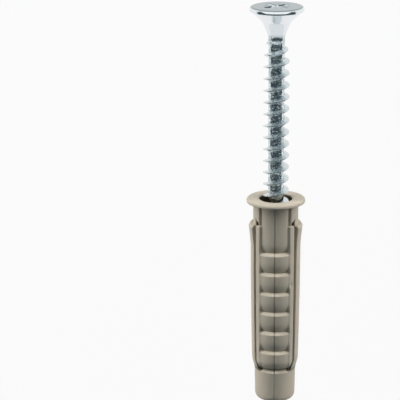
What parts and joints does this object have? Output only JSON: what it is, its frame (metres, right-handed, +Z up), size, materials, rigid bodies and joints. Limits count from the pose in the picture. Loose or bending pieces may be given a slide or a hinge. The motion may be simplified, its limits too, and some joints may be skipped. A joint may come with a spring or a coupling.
{
  "type": "wall plug with screw",
  "caption": "Ribbed plastic expansion plug with a flange, side arms and slots, and a countersunk cross-recess wood screw started in its mouth.",
  "frame": {"origin": "middle of the outline on the surface that the part lies on", "axes": "+Y along the screw and plug towards the screw's head, which dips by 0.76 degrees so that the flange and the head both touch; +Z up, out of the plug's ribbed front; +X across the side arms"},
  "size_m": [0.011, 0.0762, 0.0109],
  "materials": {
    "plug_plastic": "satin moulded beige-grey nylon",
    "screw_steel": "bright zinc plating with a cool tint"
  },
  "bodies": {
    "root": {"wall_plug": "plug_plastic", "screw": "screw_steel"}
  },
  "joints": []
}
